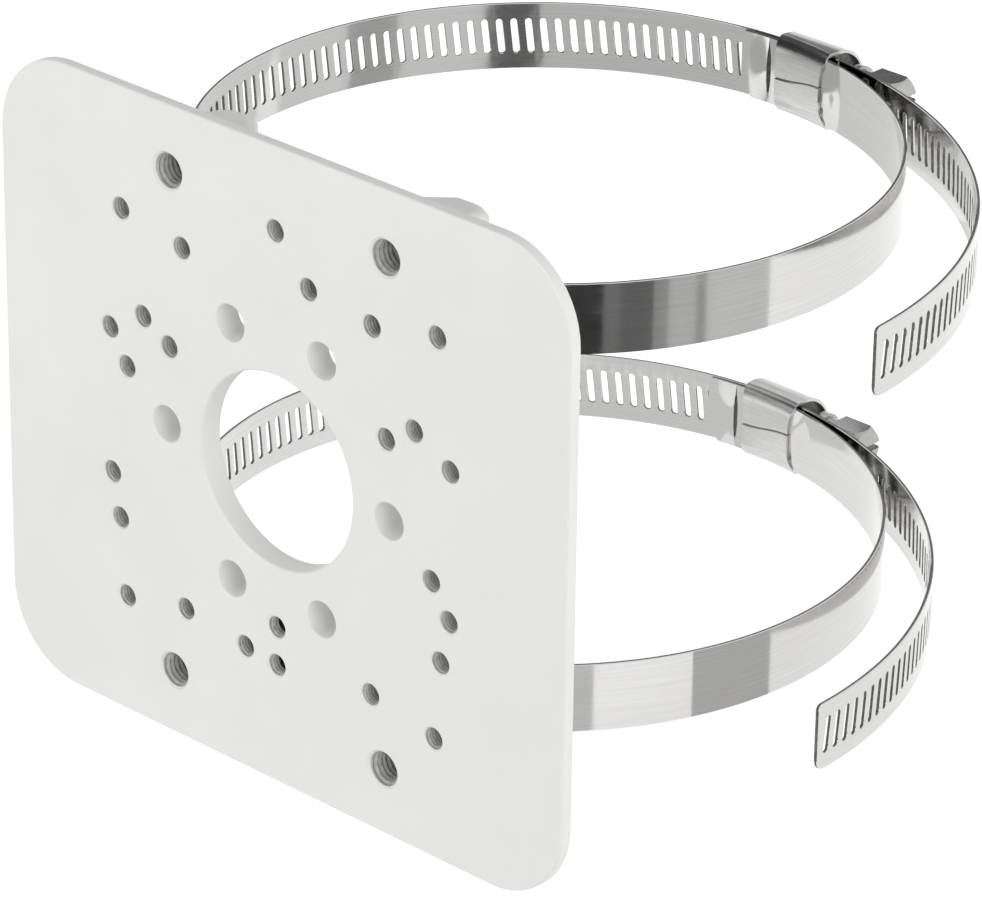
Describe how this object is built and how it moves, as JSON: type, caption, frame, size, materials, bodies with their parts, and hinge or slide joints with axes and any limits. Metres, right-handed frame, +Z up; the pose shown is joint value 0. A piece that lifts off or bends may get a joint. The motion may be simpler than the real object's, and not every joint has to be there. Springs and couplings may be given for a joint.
{
  "type": "camera pole mount bracket",
  "caption": "Flat plate with rounded corners, threaded and plain hole patterns and a cable hole, held to a pole by V-jaws and perforated worm-drive steel bands.",
  "frame": {"origin": "cable hole's axis in the plate's front face", "axes": "+X to the right seen from the front, +Y back towards the pole, +Z up along the pole"},
  "size_m": [0.1985, 0.1734, 0.15],
  "materials": {
    "powder_coat": "satin white powder coat",
    "band_steel": "lengthwise brushed stainless steel",
    "housing_steel": "bright stainless sheet",
    "screw_steel": "turned and plated steel"
  },
  "bodies": {
    "bracket": {"mounting_plate": "powder_coat"},
    "upper_clamp": {"upper_band": "band_steel", "upper_housing": "housing_steel"},
    "lower_clamp": {"lower_band": "band_steel", "lower_housing": "housing_steel"},
    "upper_screw": {"upper_worm_screw": "screw_steel"},
    "lower_screw": {"lower_worm_screw": "screw_steel"}
  },
  "joints": [
    {"name": "upper_clamp_slide_round", "type": "hinge", "parent": "bracket", "child": "upper_clamp", "pos_m": [0, 0.0836, 0.0441], "axis": [0, 0, 1], "range_deg": [-20, 35]},
    {"name": "lower_clamp_slide_round", "type": "hinge", "parent": "bracket", "child": "lower_clamp", "pos_m": [0, 0.0822, -0.0441], "axis": [0, 0, 1], "range_deg": [-20, 35]},
    {"name": "upper_screw_turn", "type": "hinge", "parent": "upper_clamp", "child": "upper_screw", "pos_m": [0.00807, 0.16759, 0.0441], "axis": [1, 0.0035, 0], "continuous": true},
    {"name": "lower_screw_turn", "type": "hinge", "parent": "lower_clamp", "child": "lower_screw", "pos_m": [0.00309, 0.16654, -0.0441], "axis": [1, -0.0035, 0], "continuous": true}
  ]
}
